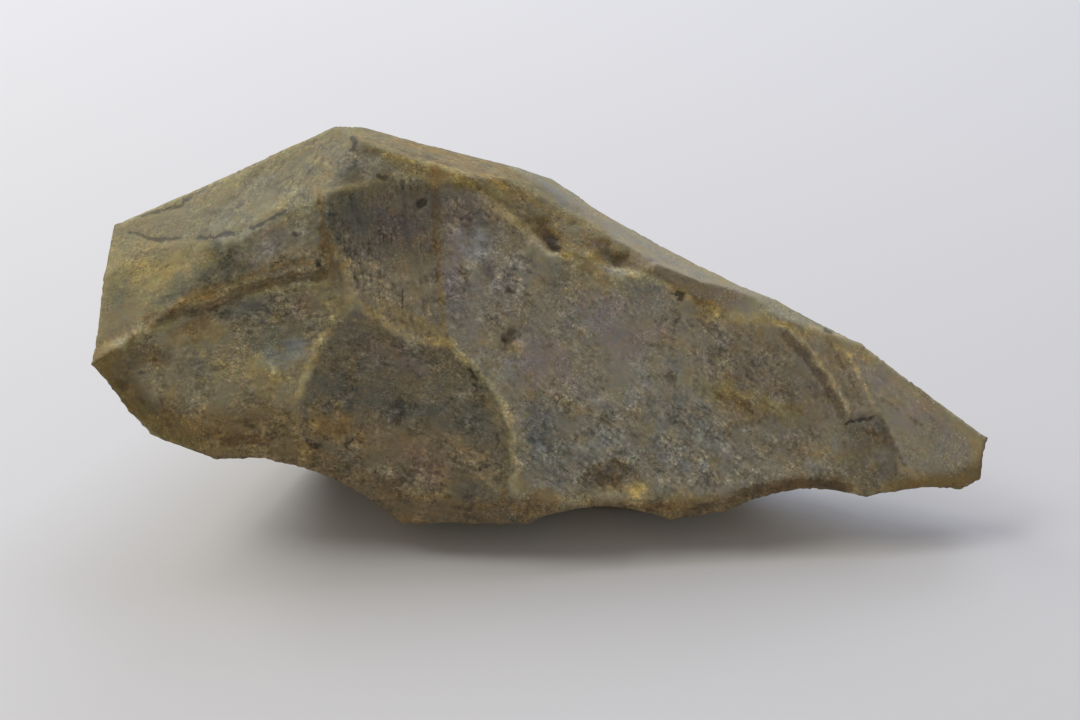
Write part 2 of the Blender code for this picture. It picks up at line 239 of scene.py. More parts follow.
FIELDS = [
    Field("butt slope", "#817957", 0.5, 1.5, 4, -50,
          [(95, 236), (105, 205), (185, 165), (260, 130), (350, 100), (362, 125), (352, 142), (338, 165),
           (322, 193), (285, 208), (250, 225), (215, 236), (150, 239), (127, 232)]),
    Field("butt slope, left part", "#7f7550", 0.6, 1.3, 18, None,
          [(95, 236), (105, 205), (170, 180), (215, 185), (200, 215), (180, 238), (127, 234)]),
    Field("butt end", "#897e52", 0.6, 1.0, 4, -15,
          [(95, 236), (127, 233), (150, 240), (215, 238), (238, 258), (195, 285), (165, 308), (130, 325),
           (100, 345), (70, 340), (80, 280)]),
    Field("butt end, foot", "#7f7450", 0.6, 0.8, 10, None,
          [(70, 345), (80, 295), (120, 290), (135, 305), (130, 325), (100, 345)]),
    Field("shoulder", "#98927b", 0.5, 1.1, 4, -30,
          [(213, 238), (250, 227), (285, 209), (322, 194), (326, 235), (310, 245), (285, 252), (262, 262),
           (247, 268), (235, 262)]),
    Field("wedge", "#77725c", 0.9, 2.0, 5, -45,
          [(213, 238), (240, 258), (262, 262), (240, 285), (200, 300), (165, 311), (178, 292), (196, 275),
           (215, 262)]),
    Field("lip of the shoulder", "#998e6f", 1.0, 2.0, 4, -15,
          [(165, 313), (185, 295), (235, 283), (262, 262), (290, 250), (322, 244), (330, 262), (322, 277),
           (280, 283), (250, 289), (215, 303), (185, 313)]),
    Field("butt hollow", "#a99f7f", 0.8, 1.4, 5, -12,
          [(100, 345), (165, 313), (240, 291), (322, 278), (348, 295), (335, 318), (322, 345), (310, 375),
           (300, 400), (300, 448), (200, 455), (150, 420), (110, 370)]),
    Field("butt hollow, shaded part", "#958d74", 0.7, 2.0, 16, None,
          [(170, 316), (240, 296), (322, 282), (335, 300), (322, 335), (290, 350), (255, 330), (215, 325)]),
    Field("butt hollow, foot", "#8f7e59", 1.0, 2.0, 12, None,
          [(160, 400), (200, 415), (250, 405), (300, 410), (330, 450), (345, 480), (300, 480), (190, 470),
           (150, 430)]),
    Field("butt strip", "#85764e", 0.8, 1.2, 5, 55,
          [(70, 345), (100, 345), (122, 350), (150, 400), (200, 440), (195, 470), (140, 450), (110, 415),
           (80, 380)]),
    Field("small triangle", "#857d6b", 1.0, 2.0, 4, 30,
          [(350, 142), (380, 160), (374, 178), (350, 186), (322, 191), (338, 166)]),
    Field("upper left scar", "#807a6b", 0.35, 2.0, 3, 80,
          [(325, 195), (360, 189), (385, 180), (405, 174), (432, 182), (436, 240), (440, 280), (440, 345),
           (420, 345), (400, 338), (375, 318), (352, 296), (345, 262), (330, 235)]),
    Field("upper left scar, foot", "#a89d83", 0.4, 1.7, 16, None,
          [(350, 262), (432, 262), (440, 345), (420, 345), (400, 338), (375, 318), (352, 296)]),
    Field("crest", "#86784d", 1.3, 1.2, 4, 32,
          [(362, 105), (430, 120), (515, 150), (560, 205), (625, 250), (680, 288), (745, 318), (700, 304),
           (655, 276), (610, 264), (555, 253), (515, 223), (480, 192), (430, 180), (405, 172), (380, 160),
           (355, 135)]),
    Field("far slope", "#968e7a", 0.3, 0.3, 4, 25,
          [(500, 160), (510, 140), (610, 190), (700, 240), (840, 305), (828, 335), (785, 322), (745, 318),
           (680, 288), (640, 262), (600, 225), (560, 195)]),
    Field("main scar", "#aba491", 0.45, 1.1, 3, 40,
          [(441, 188), (480, 191), (515, 223), (555, 253), (610, 265), (655, 276), (700, 304), (760, 318),
           (785, 325), (825, 362), (850, 405), (845, 418), (860, 500), (760, 530), (690, 540), (640, 535),
           (512, 540), (508, 480), (512, 440), (495, 395), (475, 372), (450, 347), (443, 300)]),
    Field("main scar, upper part", "#a8a294", 0.45, 1.8, 16, None,
          [(443, 225), (500, 235), (540, 260), (520, 345), (480, 350), (446, 335)]),
    Field("main scar, under the crest", "#978c7f", 0.8, 1.4, 8, None,
          [(441, 188), (480, 191), (515, 223), (555, 253), (500, 232), (460, 226), (441, 222)]),
    Field("main scar, right part", "#9d927c", 0.5, 1.6, 20, None,
          [(690, 310), (760, 325), (800, 345), (830, 380), (845, 410), (800, 460), (740, 450), (700, 380)]),
    Field("main scar, lower part", "#a09b8b", 0.6, 1.9, 22, None,
          [(515, 400), (600, 400), (700, 410), (760, 440), (760, 485), (640, 490), (515, 495)]),
    Field("lower left scar", "#857e6a", 0.5, 2.0, 3, 18,
          [(350, 312), (375, 320), (405, 343), (450, 347), (475, 372), (495, 395), (507, 420), (512, 440),
           (508, 480), (470, 500), (400, 485), (350, 465), (302, 440), (300, 400), (310, 375), (322, 345),
           (335, 320)]),
    Field("lower left scar, foot", "#958668", 0.8, 1.8, 16, None,
          [(300, 415), (370, 415), (440, 425), (490, 445), (500, 490), (400, 485), (330, 455)]),
    Field("near rim", "#7c6d56", 1.3, 2.0, 8, 5,
          [(185, 455), (300, 452), (350, 472), (400, 487), (450, 500), (520, 498), (560, 505), (600, 500),
           (640, 500), (700, 500), (760, 484), (840, 470), (860, 510), (760, 530), (690, 550), (450, 545),
           (330, 520), (200, 480)]),
    Field("strip by the tip", "#aa9f89", 0.4, 1.0, 4, 55,
          [(790, 322), (822, 328), (845, 352), (862, 375), (880, 412), (850, 418), (848, 405), (830, 375),
           (806, 345)]),
    Field("near step", "#8c8574", 0.6, 1.2, 9, 60,
          [(847, 418), (882, 415), (897, 455), (898, 490), (870, 500), (842, 470)]),
    Field("tip", "#b1a994", 0.3, 0.5, 4, 48,
          [(826, 325), (830, 300), (920, 350), (1010, 430), (1000, 500), (900, 500), (898, 480), (897, 455),
           (882, 415), (862, 375), (845, 352)]),
    Field("tip, worn foot", "#8a7a5a", 0.9, 1.0, 8, None,
          [(890, 478), (940, 474), (975, 462), (990, 440), (1010, 450), (990, 510), (880, 510)]),
]

# Marks with an oval outline: stain, depth in mm, centre, half sizes and turn in the photograph

Spot = namedtuple("Spot", "stain depth x y half_long half_short turn")

SPOTS = [Spot(*row) for row in (
    # Butt
    ("slate", 0, 225, 243, 20, 8, 12),
    ("bone", 0, 231, 243, 7, 2.5, -10),
    ("smoke_and_shade", 0, 226, 252, 18, 10, 15),
    ("slate", 0, 205, 272, 22, 7, -40),
    ("slate", 0, 172, 292, 17, 8, -38),
    ("smoke_and_shade", 0.05, 172, 294, 16, 6, -42),
    ("slate", 0, 120, 295, 10, 6, -45),
    ("lilac", 0, 98, 318, 7, 18, 10),
    ("lilac", 0, 270, 240, 24, 16, -20),
    ("pearl_and_sheen", 0, 268, 250, 12, 7, -60),
    ("soot", 0.05, 295, 236, 5, 2, -20),
    ("pearl_and_sheen", 0, 300, 230, 8, 4, -40),
    ("rust", 0, 205, 296, 14, 6, -10),
    ("rust", 0.10, 185, 302, 9, 6, 0),
    ("soot", 0.30, 320, 262, 4, 3, 60),
    ("umber_and_shade", 0.20, 323, 271, 5, 3, 70),
    ("rust", 0, 326, 245, 5, 10, 0),
    ("umber_and_shade", 0.10, 325, 232, 3, 8, -15),
    ("soot", 0.15, 355, 141, 6, 5, 60),
    ("slate", 0, 350, 170, 20, 12, -30),
    ("smoke_and_shade", 0, 352, 165, 9, 4, -50),
    ("pearl_and_sheen", 0, 362, 168, 6, 4, 0),
    ("slate", 0, 299, 320, 14, 10, 0),
    ("slate", 0, 272, 345, 24, 15, 25),
    ("slate", 0, 240, 308, 26, 7, -14),
    ("lilac", 0, 305, 300, 16, 8, -20),
    ("ochre", 0, 205, 332, 30, 9, -12),
    ("rust", 0, 190, 325, 24, 6, -18),
    ("umber_and_shade", 0, 148, 350, 24, 12, 20),
    ("bone", 0, 160, 268, 30, 10, -10),
    # The pearl and mist spots on the butt hollow are pale patina with a painted sheen laid into them
    ("pearl_and_sheen", 0, 284, 350, 16, 12, 0),
    ("bone", 0, 272, 368, 20, 10, 40),
    ("bone", 0, 236, 370, 34, 11, 12),
    ("mist_and_sheen", 0, 284, 358, 24, 13, -40),
    ("ochre", 0, 200, 430, 30, 9, 15),
    ("smoke_and_shade", 0.10, 204, 390, 3.5, 3, 0),
    ("slate", 0.05, 195, 368, 5, 4, 0),
    ("soot", 0.10, 270, 392, 3, 2.5, 0),
    ("umber_and_shade", 0.12, 122, 381, 9, 6, 40),
    ("umber_and_shade", 0.12, 140, 402, 6, 4, 50),
    ("soot", 0.05, 142, 372, 3, 2, 0),
    ("umber_and_shade", 0.10, 240, 443, 32, 8, 5),
    ("smoke_and_shade", 0, 245, 421, 10, 4, 10),
    ("umber_and_shade", 0.12, 279, 433, 6, 4, -20),
    ("soot", 0.12, 315, 446, 5, 2.5, 0),
    ("rust", 0, 112, 336, 24, 5, -30),
    # Upper left scar and crest
    ("soot", 0.25, 418, 201, 6, 4.5, 0),
    ("soot", 0.12, 385, 178, 6, 3, 20),
    ("slate", 0, 350, 215, 22, 16, 20),
    ("lilac", 0, 395, 235, 26, 20, 0),
    ("ochre", 0, 410, 320, 22, 10, 30),
    ("rust", 0.05, 435, 186, 8, 4, 0),
    ("lilac", 0, 452, 262, 9, 32, 0),
    # Painted highlight: the pearl spot and the larger mist spot here paint a glint near the top of the main
    # scar
    ("pearl_and_sheen", 0, 474, 256, 11, 14, -15),
    ("mist_and_sheen", 0, 474, 250, 15, 24, -15),
    ("pearl_and_sheen", 0, 494, 286, 4.5, 4, 0),
    ("pearl_and_sheen", 0, 450, 280, 5, 8, 0),
    ("smoke_and_shade", 0, 489, 272, 4, 15, -10),
    ("slate", 0, 478, 225, 14, 8, 60),
    ("smoke_and_shade", 0, 455, 218, 14, 4, 5),
    ("slate", 0, 450, 196, 12, 7, 0),
    ("bone", 0, 470, 178, 12, 3, 35),
    ("bone", 0, 500, 187, 14, 5, 40),
    ("umber_and_shade", 0.60, 550, 237, 22, 6.5, 38),
    ("soot", 0, 555, 241, 13, 3.5, 38),
    ("umber_and_shade", 0.35, 614, 251, 22, 7, 24),
    ("rust", 0, 590, 240, 14, 5, 45),
    ("smoke_and_shade", 0.10, 520, 209, 6, 2.5, 30),
    ("smoke_and_shade", 0.10, 551, 217, 5, 2.5, 50),
    ("smoke_and_shade", 0.10, 571, 222, 6, 2, 10),
    ("umber_and_shade", 0, 488, 195, 9, 2.5, 50),
    # Main scar
    ("umber_and_shade", 0.80, 510, 338, 11, 8, 15),
    ("smoke_and_shade", 0, 508, 336, 7, 5, 10),
    ("soot", 0, 505, 339, 3, 2.5, 60),
    ("bone", 0, 522, 346, 3.5, 4, -40),
    ("ochre", 0, 516, 347, 8, 3, 10),
    ("soot", 0.05, 530, 333, 1.8, 1.6, 0),
    ("rust", 0, 580, 333, 3, 2, 0),
    ("slate", 0, 556, 272, 8, 16, 0),
    ("slate", 0, 648, 290, 16, 12, 0),
    ("umber_and_shade", 0.12, 677, 291, 9, 4, 35),
    ("soot", 0.05, 679, 296, 5, 4, 40),
    ("umber_and_shade", 0.05, 675, 318, 3, 9, 0),
    ("soot", 0, 674, 320, 3.5, 2.5, 0),
    ("umber_and_shade", 0.05, 671, 341, 2.5, 11, 0),
    ("umber_and_shade", 0.10, 671, 378, 5.5, 8, 0),
    ("smoke_and_shade", 0, 672, 378, 3, 6, 0),
    ("bone", 0.05, 717, 308, 13, 6, 28),
    ("bone", 0, 712, 304, 9, 4, 28),
    ("ochre", 0, 716, 311, 20, 10, 24),
    ("rust", 0, 700, 300, 8, 4, 30),
    ("ochre", 0, 745, 312, 18, 4, 18),
    # The mist spots, and the pearl spots among them, are the main scar's pale bluish patina with its bluish
    # sheen painted in
    ("mist_and_sheen", 0, 735, 345, 40, 12, 18),
    ("lilac", 0, 620, 330, 40, 26, 20),
    ("lilac", 0, 540, 370, 34, 24, 0),
    ("mist_and_sheen", 0, 500, 378, 12, 10, 0),
    ("mist_and_sheen", 0, 640, 362, 30, 12, 0),
    ("mist_and_sheen", 0, 625, 393, 30, 14, -10),
    ("smoke_and_shade", 0, 637, 393, 4, 3, 0),
    ("smoke_and_shade", 0.05, 625, 432, 6, 3, 10),
    ("mist_and_sheen", 0, 665, 372, 26, 14, 25),
    ("slate", 0, 548, 445, 22, 30, -15),
    ("mist_and_sheen", 0, 608, 447, 30, 18, 0),
    ("mist_and_sheen", 0, 690, 446, 50, 22, 5),
    ("mist_and_sheen", 0, 560, 478, 16, 8, -30),
    ("pearl_and_sheen", 0, 545, 455, 6, 12, -20),
    ("pearl_and_sheen", 0, 600, 395, 18, 4, 20),
    ("olive", 0, 728, 392, 30, 9, 25),
    ("olive", 0, 775, 408, 24, 8, 20),
    ("rust", 0, 736, 381, 9, 3, 30),
    ("umber_and_shade", 0.08, 722, 396, 13, 3, 42),
    ("umber_and_shade", 0.08, 745, 404, 12, 3, 35),
    ("mist_and_sheen", 0, 768, 430, 26, 10, 5),
    ("rust", 0, 781, 389, 8, 3, 30),
    ("rust", 0, 796, 411, 7, 3, 20),
    ("bone", 0, 710, 400, 12, 3, 35),
    ("ochre", 0.05, 578, 406, 18, 3, 25),
    ("ochre", 0, 614, 427, 7, 5, 0),
    ("umber_and_shade", 0.30, 606, 476, 30, 9, -8),
    ("umber_and_shade", 0.20, 618, 470, 16, 8, 10),
    ("buff", 0, 607, 492, 19, 5, -12),
    ("buff", 0, 634, 487, 7, 8, 0),
    ("ochre", 0, 630, 488, 9, 6, 30),
    ("ochre", 0, 680, 502, 34, 5, -8),
    ("umber_and_shade", 0.10, 655, 508, 9, 3, -10),
    ("umber_and_shade", 0.10, 705, 505, 8, 3, -10),
    # Lower left scar
    ("slate", 0, 345, 392, 30, 12, 20),
    ("slate", 0, 410, 408, 44, 14, 14),
    ("slate", 0, 472, 425, 26, 12, 50),
    ("lilac", 0, 395, 355, 34, 14, 20),
    ("lilac", 0, 425, 462, 26, 12, 20),
    ("ochre", 0, 335, 420, 30, 12, 30),
    ("olive", 0, 457, 380, 13, 1.8, 0),
    ("smoke_and_shade", 0.20, 397, 413, 7, 9, 20),
    ("umber_and_shade", 0, 396, 418, 5, 6, 20),
    ("umber_and_shade", 0.12, 402, 343, 5.5, 3.5, 80),
    ("rust", 0, 397, 355, 4, 3, 30),
    ("smoke_and_shade", 0, 474, 381, 12, 5, 62),
    ("smoke_and_shade", 0, 497, 443, 9, 3.5, 80),
    ("soot", 0.08, 482, 468, 2.5, 2, 0),
    ("smoke_and_shade", 0.10, 360, 468, 4, 3, 60),
    ("slate", 0.05, 476, 490, 22, 9, 15),
    ("rust", 0.05, 545, 499, 16, 7, 0),
    ("ochre", 0, 500, 505, 30, 4, 8),
    # Tip
    ("soot", 0.15, 828, 330, 4, 6, 0),
    ("pearl_and_sheen", 0, 874, 460, 14, 5, -25),
    ("rust", 0, 868, 434, 12, 3, 15),
    ("umber_and_shade", 0.08, 874, 434, 13, 3.5, 30),
    ("smoke_and_shade", 0.05, 872, 444, 6, 3, 0),
    ("ochre", 0, 824, 452, 24, 7, 5),
    ("lilac", 0, 925, 420, 30, 18, 35),
    ("lilac", 0, 880, 380, 20, 10, 40),
    ("rust", 0, 880, 345, 10, 3, 30),
    ("ochre", 0, 940, 482, 30, 5, -4),
    ("ochre", 0, 980, 450, 5, 12, 0),
)]

# Marks along a line: stain, depth in mm, half width and path in the photograph. A mark with a negative depth
# stands out.

Line = namedtuple("Line", "stain depth half_width path")

LINES = [Line(*row) for row in (
    # Butt
    ("soot", 0.10, 1.6, [(127, 232), (140, 236), (152, 240), (165, 238), (181, 238)]),
    ("soot", 0.10, 1.8, [(197, 239), (215, 237), (235, 233), (252, 228), (270, 219), (285, 209)]),
    ("slate", 0, 3.0, [(212, 240), (235, 236), (252, 229), (270, 220), (285, 210), (305, 196)]),
    ("pearl_and_sheen", 0, 5.0, [(215, 229), (245, 218), (272, 205), (295, 191)]),
    ("soot", 0.08, 1.3, [(142, 217), (160, 211), (176, 207), (184, 202), (200, 192)]),
    ("smoke_and_shade", 0.10, 1.0, [(200, 192), (212, 186), (225, 181), (245, 170)]),
    ("pearl_and_sheen", 0, 3.0, [(122, 224), (150, 209), (176, 198), (190, 187), (206, 184), (240, 172)]),
    # Painted shadow under the lip of the shoulder: a wide umber band and a thin smoke line, over a shallow
    # groove
    ("umber_and_shade", 0.25, 6.0, [(150, 322), (185, 312), (205, 309), (230, 299), (245, 289), (270, 284),
                          (295, 277), (323, 277)]),
    ("smoke_and_shade", 0.15, 1.6, [(185, 313), (210, 309), (232, 298), (245, 289), (270, 285), (300, 278),
                          (322, 279)]),
    ("rust", 0, 2.5, [(170, 316), (180, 300), (192, 290), (235, 281), (270, 268), (300, 262),
                      (318, 262)]),
    ("bone", 0, 0.9, [(243, 262), (239, 274), (233, 287)]),
    ("umber_and_shade", 0.10, 1.4, [(160, 400), (166, 413)]),
    ("buff", -0.10, 6.0, [(352, 302), (338, 318), (326, 335), (317, 350)]),
    ("buff", -0.10, 4.0, [(320, 348), (310, 368), (303, 382), (298, 395)]),
    ("rust", -0.10, 4.0, [(320, 192), (322, 215), (324, 240), (330, 262)]),
    ("buff", -0.10, 5.0, [(334, 246), (344, 262), (348, 285), (354, 302)]),
    ("pearl_and_sheen", 0, 2.4, [(324, 196), (328, 212), (331, 226)]),
    ("umber_and_shade", 0.15, 1.6, [(319, 200), (322, 220), (321, 240), (324, 258)]),
    ("buff", 0, 2.6, [(322, 192), (345, 188), (362, 186), (380, 180), (396, 174), (415, 176),
                      (436, 184)]),
    ("buff", -0.05, 4.5, [(352, 300), (372, 314), (392, 328), (410, 338), (430, 341), (452, 344)]),
    # Streaks on the butt slope
    ("umber_and_shade", 0.05, 1.2, [(214, 214), (235, 198), (252, 178), (268, 160)]),
    ("umber_and_shade", 0.05, 1.2, [(262, 182), (282, 164), (305, 146), (322, 137)]),
    ("smoke_and_shade", 0.05, 0.7, [(264, 192), (290, 176), (312, 164)]),
    ("rust", 0, 1.3, [(232, 198), (246, 186), (262, 168), (280, 154)]),
    ("umber_and_shade", 0, 0.9, [(196, 232), (210, 222), (228, 206)]),
    ("smoke_and_shade", 0.03, 0.7, [(288, 170), (305, 158), (330, 143)]),
    ("rust", 0, 1.4, [(205, 212), (222, 203), (240, 190)]),
    ("rust", 0, 1.2, [(285, 165), (310, 148), (335, 138)]),
    ("umber_and_shade", 0, 0.8, [(120, 262), (150, 252), (180, 246)]),
    ("umber_and_shade", 0, 0.8, [(125, 276), (160, 268), (185, 262)]),
    # Upper left scar and crest
    ("rust", -0.05, 4.5, [(436, 166), (434, 190), (436, 215), (437, 245)]),
    ("ochre", -0.10, 3.5, [(437, 245), (441, 285), (441, 320), (441, 342)]),
    ("umber_and_shade", 0.15, 1.3, [(433, 226), (435, 250), (438, 285)]),
    ("soot", 0.15, 1.0, [(402, 288), (403, 300), (401, 311)]),
    ("smoke_and_shade", 0.05, 1.0, [(440, 223), (460, 224), (480, 226)]),
    ("umber_and_shade", 0.20, 1.8, [(478, 184), (486, 193), (497, 205)]),
    ("buff", 0, 4.5, [(484, 194), (505, 215), (530, 233), (552, 250), (572, 256)]),
    ("ochre", 0, 3.0, [(536, 226), (552, 230), (568, 240), (580, 250)]),
    ("bone", 0, 1.4, [(590, 243), (605, 240), (622, 248), (636, 262)]),
    ("buff", 0, 3.2, [(590, 256), (610, 266), (640, 274), (665, 284), (690, 298)]),
    ("ochre", 0, 3.0, [(690, 298), (712, 318), (735, 320), (760, 318), (788, 326)]),
    ("bone", 0, 2.4, [(385, 155), (410, 159), (440, 166), (462, 176), (482, 190)]),
    ("ochre", 0, 4.0, [(395, 140), (430, 148), (465, 162), (495, 180), (530, 200), (560, 218)]),
    ("umber_and_shade", 0.10, 1.2, [(400, 150), (425, 156), (450, 165)]),
    ("umber_and_shade", 0.10, 1.2, [(500, 200), (515, 212), (532, 222)]),
    ("lilac", 0, 8.0, [(640, 262), (670, 276), (700, 288), (735, 298)]),
    ("smoke_and_shade", 0, 0.9, [(640, 254), (665, 268), (690, 282)]),
    # Main scar
    ("smoke_and_shade", 0.05, 0.7, [(602, 341), (635, 343), (665, 347)]),
    ("ochre", 0.10, 2.4, [(553, 396), (575, 405), (592, 414)]),
    ("umber_and_shade", 0.06, 0.9, [(556, 394), (575, 403), (595, 414)]),
    ("pearl_and_sheen", 0, 1.2, [(452, 350), (480, 358), (505, 362), (540, 362)]),
    ("smoke_and_shade", 0, 1.0, [(460, 354), (485, 352), (512, 358)]),
    ("smoke_and_shade", 0.08, 1.0, [(695, 358), (705, 372), (716, 392), (725, 400)]),
    ("pearl_and_sheen", 0, 1.2, [(700, 352), (712, 372), (728, 390)]),
    ("umber_and_shade", 0.05, 5.0, [(742, 492), (780, 484), (820, 482), (850, 488)]),
    ("umber_and_shade", 0.15, 2.0, [(578, 482), (590, 470), (605, 463), (622, 466), (640, 480)]),
    ("umber_and_shade", 0.04, 0.8, [(525, 430), (535, 448), (550, 470)]),
    ("smoke_and_shade", 0.05, 1.0, [(556, 418), (566, 438), (580, 455)]),
    # Lower left scar
    ("buff", -0.10, 3.6, [(450, 346), (470, 365), (490, 385), (503, 405), (511, 428), (511, 455)]),
    ("soot", 0.10, 1.5, [(467, 369), (471, 376), (476, 381), (474, 387), (481, 391)]),
    ("soot", 0.08, 1.3, [(496, 434), (498, 441), (495, 449)]),
    ("smoke_and_shade", 0.05, 1.4, [(500, 468), (501, 480)]),
    ("soot", 0.08, 0.9, [(350, 428), (353, 440), (345, 443)]),
    ("soot", 0.10, 1.0, [(345, 443), (355, 452), (362, 462), (376, 473)]),
    ("umber_and_shade", 0.08, 1.1, [(376, 473), (395, 479), (415, 484), (440, 488), (455, 500)]),
    ("ochre", 0, 1.8, [(455, 484), (462, 478), (480, 478), (498, 486), (502, 498)]),
    ("rust", 0, 2.0, [(300, 442), (325, 452), (350, 466), (376, 480)]),
    # Tip
    # Painted shade on the dark side of the first ridge at the tip: a wide umber band over a shallow groove
    ("umber_and_shade", 0.15, 5.0, [(786, 336), (804, 352), (820, 374), (834, 397), (842, 415)]),
    ("buff", -0.35, 3.0, [(775, 322), (793, 330), (806, 345), (822, 366), (837, 389), (849, 412)]),
    ("buff", -0.10, 2.2, [(836, 346), (848, 356), (856, 370), (866, 390), (878, 412)]),
    ("bone", 0, 1.2, [(848, 354), (870, 356), (905, 360)]),
    ("umber_and_shade", 0.10, 1.6, [(828, 340), (840, 362), (852, 384), (862, 404)]),
    ("umber_and_shade", 0.10, 1.8, [(883, 418), (893, 440), (902, 458), (906, 468)]),
    ("ochre", 0, 2.5, [(895, 456), (905, 470), (930, 477)]),
    ("lilac", 0, 4.0, [(850, 352), (880, 374), (915, 400), (950, 428)]),
    ("umber_and_shade", 0, 0.9, [(880, 398), (905, 415), (925, 432)]),
    ("bone", 0, 1.0, [(812, 375), (820, 400)]),
    ("soot", 0.15, 1.7, [(846, 422), (856, 420), (866, 419), (877, 416)]),
    ("smoke_and_shade", 0.10, 1.2, [(842, 428), (846, 445), (843, 462)]),
    ("umber_and_shade", 0.10, 1.4, [(882, 418), (892, 440), (897, 460), (896, 478)]),
    ("smoke_and_shade", 0, 0.8, [(905, 400), (930, 418), (950, 440)]),
)]

# Ripples left by the blows: strike point, band of distances, band of turns in degrees, spacing, and height
# in mm. All but the turns and the height are in pixels.

Ripple = namedtuple("Ripple", "x y near far start end spacing height")

RIPPLES = [
    Ripple(470, 330, 70, 260, -10, 70, 31, 0.04),
    Ripple(400, 330, 60, 170, 20, 110, 19, 0.04),
    Ripple(330, 270, 40, 180, 80, 170, 23, 0.05),
    Ripple(380, 175, 30, 150, 40, 120, 19, 0.03),
    Ripple(350, 120, 50, 230, 120, 170, 21, 0.03),
]

# Marks scattered over the sides that the photograph hides: stain, how many, half sizes and depth in mm

Scatter = namedtuple("Scatter", "stain count smallest largest depth")

SCATTERS = [
    Scatter("slate", 26, 3.0, 9.0, 0.0),
    Scatter("lilac", 14, 3.0, 8.0, 0.0),
    Scatter("ochre", 30, 1.5, 6.0, 0.0),
    Scatter("rust", 16, 0.8, 3.0, 0.05),
    Scatter("olive", 10, 1.5, 4.0, 0.0),
    Scatter("bone", 10, 0.8, 2.4, 0.0),
    Scatter("umber_and_shade", 22, 0.7, 2.6, 0.15),
    Scatter("soot", 24, 0.4, 1.5, 0.15),
]
SCATTER_SEED = 23
SCATTER_SQUEEZE = (0.6, 1.7)

# Table and lights: a light's place and sizes in mm and its power in watts

TABLE_COLOUR = "#dcdcde"
TABLE_MM = 6000
TABLE_ROUGHNESS = 0.9
ROOM_COLOUR = "#f6ece0"
ROOM_STRENGTH = 0.27

Light = namedtuple("Light", "name place width height power colour")

LIGHTS = [
    Light("window behind", (0, 1040, 940), 900, 800, 10, "#dfe9ff"),
    Light("window on the left", (-1000, 270, 940), 900, 800, 14, "#fffdf8"),
]


def linear(colour):
    """Turns an sRGB hex colour into the linear values that nodes and lights take."""
    channels = [int(colour[i:i + 2], 16) / 255 for i in (1, 3, 5)]
    return tuple(c / 12.92 if c <= 0.04045 else ((c + 0.055) / 1.055) ** 2.4 for c in channels) + (1,)


def add_node(tree, kind, inputs=None, out=None, **settings):
    """Adds a node with its settings and returns one of its outputs, the first one that is in use by default.
    Each input, by name or number, takes a plain value or another node's output."""
    node = tree.nodes.new(kind)
    for name, value in settings.items():
        setattr(node, name, value)
    for key, value in (inputs or {}).items():
        if isinstance(key, int):
            socket = node.inputs[key]
        else:
            socket = next(s for s in node.inputs if s.name == key and s.enabled)
        if isinstance(value, bpy.types.NodeSocket):
            tree.links.new(value, socket)
        else:
            socket.default_value = value
    return next((s for s in node.outputs if s.enabled and out in (None, s.name)), None)


def smoothstep(value):
    """Goes smoothly from 0 to 1 as the value does, and stays there beyond."""
    value = np.clip(value, 0, 1)
    return value * value * (3 - 2 * value)


def points_of(mesh):
    """The mesh's vertices as rows of x, y and z in mm."""
    places = np.empty(len(mesh.vertices) * 3, np.float32)
    mesh.vertices.foreach_get("co", places)
    return places.reshape(-1, 3).astype(float) / MM


def normals_of(mesh):
    """The mesh's vertex normals as rows."""
    normals = np.empty(len(mesh.vertices) * 3, np.float32)
    mesh.vertex_normals.foreach_get("vector", normals)
    return normals.reshape(-1, 3).astype(float)


def keep_values(mesh, name, kind, channel, values):
    """Keeps a value for each vertex as an attribute of the mesh."""
    attribute = mesh.attributes.new(name, kind, "POINT")
    attribute.data.foreach_set(channel, values.astype(np.float32).ravel())


def view_axes():
    """The camera's place in mm, and its right, up and forward directions."""
    azimuth = math.radians(VIEW_AZIMUTH_DEGREES)
    elevation = math.radians(VIEW_ELEVATION_DEGREES)
    back = Vector((math.sin(azimuth) * math.cos(elevation), -math.cos(azimuth) * math.cos(elevation),
                   math.sin(elevation)))
    right = Vector((math.cos(azimuth), math.sin(azimuth), 0))
    return VIEW_TARGET_MM + back * VIEW_DISTANCE_MM, right, back.cross(right), -back


def photo_places(points):
    """The photograph's pixel in which each point lies."""
    eye, right, up, forward = view_axes()
    offset = points - np.array(eye)
    depth = offset @ np.array(forward)
    across = offset @ np.array(right) / depth * FOCAL_PIXELS
    upward = offset @ np.array(up) / depth * FOCAL_PIXELS
    return np.column_stack((PHOTO_WIDTH / 2 + across, PHOTO_HEIGHT / 2 - upward))


def fine_copy(node, name):
    """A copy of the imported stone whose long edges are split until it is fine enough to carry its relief.
    Each round only splits edges longer than half of the longest, which keeps the triangles well shaped."""
    shape = bmesh.new()
    shape.from_mesh(node.data)
    bmesh.ops.remove_doubles(shape, verts=shape.verts, dist=MERGE_MM * MM)
    for split in range(SPLITS):
        flat = [edge for edge in shape.edges if edge.calc_face_angle(math.pi) < math.radians(FLAT_DEGREES)]
        bmesh.ops.beautify_fill(shape, faces=shape.faces, edges=flat, method="ANGLE")
        half_of_longest = max(edge.calc_length() for edge in shape.edges) / 2
        limit = max(LONGEST_EDGE_MM * MM, half_of_longest)
        long = [edge for edge in shape.edges if edge.calc_length() > limit]
        bmesh.ops.subdivide_edges(shape, edges=long, cuts=1)
        bmesh.ops.triangulate(shape, faces=[face for face in shape.faces if len(face.verts) > 3],
                              quad_method="SHORT_EDGE")
    mesh = bpy.data.meshes.new(name)
    shape.to_mesh(mesh)
    shape.free()
    copy = bpy.data.objects.new(name, mesh)
    bpy.context.scene.collection.objects.link(copy)
    return copy


